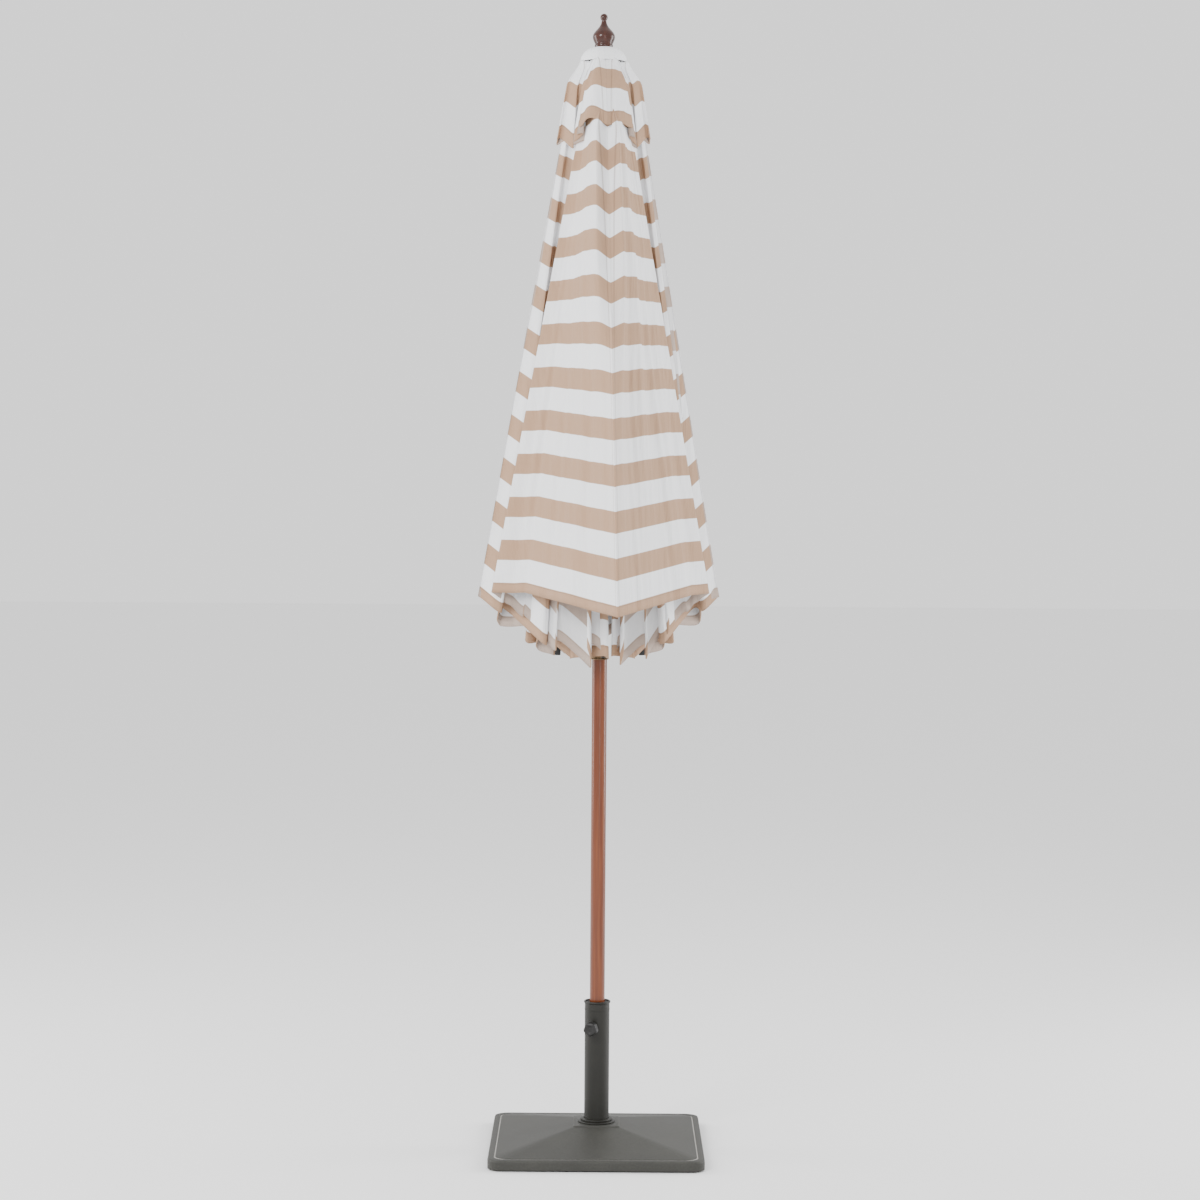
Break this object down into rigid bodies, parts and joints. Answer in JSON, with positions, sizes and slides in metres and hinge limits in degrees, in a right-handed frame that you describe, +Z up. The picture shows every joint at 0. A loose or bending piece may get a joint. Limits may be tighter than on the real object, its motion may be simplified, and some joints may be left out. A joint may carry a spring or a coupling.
{
  "type": "patio umbrella with base",
  "caption": "Closed market umbrella with striped cloth canopy, vented cap, wooden pole, ribs and runner, standing in a weighted square base.",
  "frame": {"origin": "centre of the underside of the base, on the ground", "axes": "+Z up along the pole; the front of the umbrella faces -Y"},
  "size_m": [0.4997, 0.6291, 2.4081],
  "materials": {
    "canopy_cloth": "woven polyester, beige and white stripes",
    "pole_wood": "stained and varnished",
    "dark_wood": "dark stain, varnished",
    "bronze": "dark bronze",
    "base_case": "textured powder coat",
    "dark_steel": "satin powder coat",
    "ballast": "raw concrete",
    "wire": "drawn wire",
    "rubber_pad": "matt",
    "black_plastic": "moulded"
  },
  "bodies": {
    "root": {"base_shell": "base_case", "ballast_core": "ballast", "bottom_cover": "rubber_pad", "tube_flange": "dark_steel", "trim_ring": "base_case", "base_tube": "dark_steel", "upper_bush": "black_plastic", "lower_bush": "black_plastic", "pole_seat": "black_plastic"},
    "clamp": {"clamp_screw": "dark_steel", "clamp_knob": "black_plastic"},
    "lower_pole": {"lower_pole": "pole_wood", "pole_ferrule": "bronze"},
    "upper_pole": {"upper_pole": "pole_wood", "crown_hub": "dark_wood", "hub_wire": "wire", "finial": "dark_wood", "vent_cap": "canopy_cloth"},
    "runner": {"runner": "dark_wood"},
    "front_seam": {"front_seam_tape": "canopy_cloth"},
    "rib_0": {"rib_0": "dark_wood", "strut_hinge_0": "bronze"},
    "strut_0": {"strut_0": "dark_wood"},
    "rib_1": {"rib_1": "dark_wood", "strut_hinge_1": "bronze"},
    "strut_1": {"strut_1": "dark_wood"},
    "rib_2": {"rib_2": "dark_wood", "strut_hinge_2": "bronze"},
    "strut_2": {"strut_2": "dark_wood"},
    "rib_3": {"rib_3": "dark_wood", "strut_hinge_3": "bronze"},
    "strut_3": {"strut_3": "dark_wood"},
    "rib_4": {"rib_4": "dark_wood", "strut_hinge_4": "bronze"},
    "strut_4": {"strut_4": "dark_wood"},
    "rib_5": {"rib_5": "dark_wood", "strut_hinge_5": "bronze"},
    "strut_5": {"strut_5": "dark_wood"},
    "rib_6": {"rib_6": "dark_wood", "strut_hinge_6": "bronze"},
    "strut_6": {"strut_6": "dark_wood"},
    "rib_7": {"rib_7": "dark_wood", "strut_hinge_7": "bronze"},
    "strut_7": {"strut_7": "dark_wood"},
    "gore_0_a": {"gore_0_a": "canopy_cloth"},
    "gore_0_b": {"gore_0_b": "canopy_cloth"},
    "gore_1_a": {"gore_1_a": "canopy_cloth"},
    "gore_1_b": {"gore_1_b": "canopy_cloth"},
    "gore_2_a": {"gore_2_a": "canopy_cloth"},
    "gore_2_b": {"gore_2_b": "canopy_cloth"},
    "gore_3_a": {"gore_3_a": "canopy_cloth"},
    "gore_3_b": {"gore_3_b": "canopy_cloth"},
    "gore_4_a": {"gore_4_a": "canopy_cloth"},
    "gore_4_b": {"gore_4_b": "canopy_cloth"},
    "gore_5_a": {"gore_5_a": "canopy_cloth"},
    "gore_5_b": {"gore_5_b": "canopy_cloth"},
    "gore_6_a": {"gore_6_a": "canopy_cloth"},
    "gore_6_b": {"gore_6_b": "canopy_cloth"},
    "gore_7_a": {"gore_7_a": "canopy_cloth"},
    "gore_7_b": {"gore_7_b": "canopy_cloth"}
  },
  "joints": [
    {"name": "clamp_turn", "type": "hinge", "parent": "root", "child": "clamp", "pos_m": [0, 0, 0.262], "axis": [-0.2924, -0.9563, 0], "range_deg": [0, 540]},
    {"name": "pole_lift", "type": "slide", "parent": "root", "child": "lower_pole", "axis": [0, 0, 1], "range_m": [0, 0.28]},
    {"name": "pole_part", "type": "slide", "parent": "lower_pole", "child": "upper_pole", "axis": [0, 0, 1], "range_m": [0, 0.12]},
    {"name": "runner_slide", "type": "slide", "parent": "upper_pole", "child": "runner", "axis": [0, 0, 1], "range_m": [0, 0.74057]},
    {"name": "rib_0_pivot", "type": "hinge", "parent": "upper_pole", "child": "rib_0", "pos_m": [0.00262, -0.02989, 2.295], "axis": [-0.9962, -0.0872, 0], "range_deg": [0, 73], "deforming": ["vent_cap"]},
    {"name": "strut_0_pivot", "type": "hinge", "parent": "rib_0", "child": "strut_0", "pos_m": [0.00414, -0.04727, 1.7953], "axis": [-0.9962, -0.0872, 0], "range_deg": [-146, 0]},
    {"name": "rib_1_pivot", "type": "hinge", "parent": "upper_pole", "child": "rib_1", "pos_m": [0.02298, -0.01928, 2.295], "axis": [-0.6428, -0.766, 0], "range_deg": [0, 73]},
    {"name": "strut_1_pivot", "type": "hinge", "parent": "rib_1", "child": "strut_1", "pos_m": [0.03635, -0.0305, 1.7953], "axis": [-0.6428, -0.766, 0], "range_deg": [-146, 0]},
    {"name": "rib_2_pivot", "type": "hinge", "parent": "upper_pole", "child": "rib_2", "pos_m": [0.02989, 0.00262, 2.295], "axis": [0.0872, -0.9962, 0], "range_deg": [0, 73]},
    {"name": "strut_2_pivot", "type": "hinge", "parent": "rib_2", "child": "strut_2", "pos_m": [0.04727, 0.00414, 1.7953], "axis": [0.0872, -0.9962, 0], "range_deg": [-146, 0]},
    {"name": "rib_3_pivot", "type": "hinge", "parent": "upper_pole", "child": "rib_3", "pos_m": [0.01928, 0.02298, 2.295], "axis": [0.766, -0.6428, 0], "range_deg": [0, 73]},
    {"name": "strut_3_pivot", "type": "hinge", "parent": "rib_3", "child": "strut_3", "pos_m": [0.0305, 0.03635, 1.7953], "axis": [0.766, -0.6428, 0], "range_deg": [-146, 0]},
    {"name": "rib_4_pivot", "type": "hinge", "parent": "upper_pole", "child": "rib_4", "pos_m": [-0.00262, 0.02989, 2.295], "axis": [0.9962, 0.0872, 0], "range_deg": [0, 73]},
    {"name": "strut_4_pivot", "type": "hinge", "parent": "rib_4", "child": "strut_4", "pos_m": [-0.00414, 0.04727, 1.7953], "axis": [0.9962, 0.0872, 0], "range_deg": [-146, 0]},
    {"name": "rib_5_pivot", "type": "hinge", "parent": "upper_pole", "child": "rib_5", "pos_m": [-0.02298, 0.01928, 2.295], "axis": [0.6428, 0.766, 0], "range_deg": [0, 73]},
    {"name": "strut_5_pivot", "type": "hinge", "parent": "rib_5", "child": "strut_5", "pos_m": [-0.03635, 0.0305, 1.7953], "axis": [0.6428, 0.766, 0], "range_deg": [-146, 0]},
    {"name": "rib_6_pivot", "type": "hinge", "parent": "upper_pole", "child": "rib_6", "pos_m": [-0.02989, -0.00262, 2.295], "axis": [-0.0872, 0.9962, 0], "range_deg": [0, 73]},
    {"name": "strut_6_pivot", "type": "hinge", "parent": "rib_6", "child": "strut_6", "pos_m": [-0.04727, -0.00414, 1.7953], "axis": [-0.0872, 0.9962, 0], "range_deg": [-146, 0]},
    {"name": "rib_7_pivot", "type": "hinge", "parent": "upper_pole", "child": "rib_7", "pos_m": [-0.01928, -0.02298, 2.295], "axis": [-0.766, 0.6428, 0], "range_deg": [0, 73]},
    {"name": "strut_7_pivot", "type": "hinge", "parent": "rib_7", "child": "strut_7", "pos_m": [-0.0305, -0.03635, 1.7953], "axis": [-0.766, 0.6428, 0], "range_deg": [-146, 0]},
    {"name": "front_seam_swing", "type": "hinge", "parent": "upper_pole", "child": "front_seam", "pos_m": [0.00262, -0.02989, 2.295], "axis": [-0.9962, -0.0872, 0], "range_deg": [0, 58]},
    {"name": "gore_0_a_spread", "type": "slide", "parent": "front_seam", "child": "gore_0_a", "axis": [0.6152, -0.7591, 0.2128], "range_m": [0, 0.37563], "deforming": ["gore_0_a"]},
    {"name": "gore_0_b_spread", "type": "slide", "parent": "rib_1", "child": "gore_0_b", "axis": [-0.7919, -0.6071, 0.0658], "range_m": [0, 0.60554], "deforming": ["gore_0_b"]},
    {"name": "gore_1_a_spread", "type": "slide", "parent": "rib_1", "child": "gore_1_a", "axis": [0.2301, 0.9555, 0.1848], "range_m": [0, 0.26417], "deforming": ["gore_1_a"]},
    {"name": "gore_1_b_spread", "type": "slide", "parent": "rib_2", "child": "gore_1_b", "axis": [-0.3322, -0.9385, 0.0943], "range_m": [0, 0.51768], "deforming": ["gore_1_b"]},
    {"name": "gore_2_a_spread", "type": "slide", "parent": "rib_2", "child": "gore_2_a", "axis": [-0.5219, 0.8377, 0.161], "range_m": [0, 0.34053], "deforming": ["gore_2_a"]},
    {"name": "gore_2_b_spread", "type": "slide", "parent": "rib_3", "child": "gore_2_b", "axis": [0.4055, -0.9057, 0.1237], "range_m": [0, 0.44315], "deforming": ["gore_2_b"]},
    {"name": "gore_3_a_spread", "type": "slide", "parent": "rib_3", "child": "gore_3_a", "axis": [-0.9584, 0.2434, 0.1488], "range_m": [0, 0.38186], "deforming": ["gore_3_a"]},
    {"name": "gore_3_b_spread", "type": "slide", "parent": "rib_4", "child": "gore_3_b", "axis": [0.9267, -0.3481, 0.1414], "range_m": [0, 0.40168], "deforming": ["gore_3_b"]},
    {"name": "gore_4_a_spread", "type": "slide", "parent": "rib_4", "child": "gore_4_a", "axis": [-0.8522, -0.5037, 0.1414], "range_m": [0, 0.40168], "deforming": ["gore_4_a"]},
    {"name": "gore_4_b_spread", "type": "slide", "parent": "rib_5", "child": "gore_4_b", "axis": [0.9016, 0.4061, 0.1488], "range_m": [0, 0.38186], "deforming": ["gore_4_b"]},
    {"name": "gore_5_a_spread", "type": "slide", "parent": "rib_5", "child": "gore_5_a", "axis": [-0.2421, -0.9623, 0.1237], "range_m": [0, 0.44315], "deforming": ["gore_5_a"]},
    {"name": "gore_5_b_spread", "type": "slide", "parent": "rib_6", "child": "gore_5_b", "axis": [0.3685, 0.9156, 0.161], "range_m": [0, 0.34053], "deforming": ["gore_5_b"]},
    {"name": "gore_6_a_spread", "type": "slide", "parent": "rib_6", "child": "gore_6_a", "axis": [0.4901, -0.8665, 0.0943], "range_m": [0, 0.51768], "deforming": ["gore_6_a"]},
    {"name": "gore_6_b_spread", "type": "slide", "parent": "rib_7", "child": "gore_6_b", "axis": [-0.3925, 0.901, 0.1848], "range_m": [0, 0.26417], "deforming": ["gore_6_b"]},
    {"name": "gore_7_a_spread", "type": "slide", "parent": "rib_7", "child": "gore_7_a", "axis": [0.8853, -0.4603, 0.0658], "range_m": [0, 0.60554], "deforming": ["gore_7_a"]},
    {"name": "gore_7_b_spread", "type": "slide", "parent": "front_seam", "child": "gore_7_b", "axis": [-0.4741, -0.8544, 0.2128], "range_m": [0, 0.37563], "deforming": ["gore_7_b"]}
  ],
  "couplings": [
    {"joint": "rib_0_pivot", "follows": "runner_slide", "rad_per_m": 1.7204},
    {"joint": "strut_0_pivot", "follows": "runner_slide", "rad_per_m": -3.4408},
    {"joint": "rib_1_pivot", "follows": "runner_slide", "rad_per_m": 1.7204},
    {"joint": "strut_1_pivot", "follows": "runner_slide", "rad_per_m": -3.4408},
    {"joint": "rib_2_pivot", "follows": "runner_slide", "rad_per_m": 1.7204},
    {"joint": "strut_2_pivot", "follows": "runner_slide", "rad_per_m": -3.4408},
    {"joint": "rib_3_pivot", "follows": "runner_slide", "rad_per_m": 1.7204},
    {"joint": "strut_3_pivot", "follows": "runner_slide", "rad_per_m": -3.4408},
    {"joint": "rib_4_pivot", "follows": "runner_slide", "rad_per_m": 1.7204},
    {"joint": "strut_4_pivot", "follows": "runner_slide", "rad_per_m": -3.4408},
    {"joint": "rib_5_pivot", "follows": "runner_slide", "rad_per_m": 1.7204},
    {"joint": "strut_5_pivot", "follows": "runner_slide", "rad_per_m": -3.4408},
    {"joint": "rib_6_pivot", "follows": "runner_slide", "rad_per_m": 1.7204},
    {"joint": "strut_6_pivot", "follows": "runner_slide", "rad_per_m": -3.4408},
    {"joint": "rib_7_pivot", "follows": "runner_slide", "rad_per_m": 1.7204},
    {"joint": "strut_7_pivot", "follows": "runner_slide", "rad_per_m": -3.4408},
    {"joint": "front_seam_swing", "follows": "runner_slide", "rad_per_m": 1.3669},
    {"joint": "gore_0_a_spread", "follows": "runner_slide", "ratio": 0.50718},
    {"joint": "gore_0_b_spread", "follows": "runner_slide", "ratio": 0.81764},
    {"joint": "gore_1_a_spread", "follows": "runner_slide", "ratio": 0.35669},
    {"joint": "gore_1_b_spread", "follows": "runner_slide", "ratio": 0.699},
    {"joint": "gore_2_a_spread", "follows": "runner_slide", "ratio": 0.4598},
    {"joint": "gore_2_b_spread", "follows": "runner_slide", "ratio": 0.59836},
    {"joint": "gore_3_a_spread", "follows": "runner_slide", "ratio": 0.5156},
    {"joint": "gore_3_b_spread", "follows": "runner_slide", "ratio": 0.54237},
    {"joint": "gore_4_a_spread", "follows": "runner_slide", "ratio": 0.54237},
    {"joint": "gore_4_b_spread", "follows": "runner_slide", "ratio": 0.5156},
    {"joint": "gore_5_a_spread", "follows": "runner_slide", "ratio": 0.59836},
    {"joint": "gore_5_b_spread", "follows": "runner_slide", "ratio": 0.4598},
    {"joint": "gore_6_a_spread", "follows": "runner_slide", "ratio": 0.699},
    {"joint": "gore_6_b_spread", "follows": "runner_slide", "ratio": 0.35669},
    {"joint": "gore_7_a_spread", "follows": "runner_slide", "ratio": 0.81764},
    {"joint": "gore_7_b_spread", "follows": "runner_slide", "ratio": 0.50718}
  ]
}
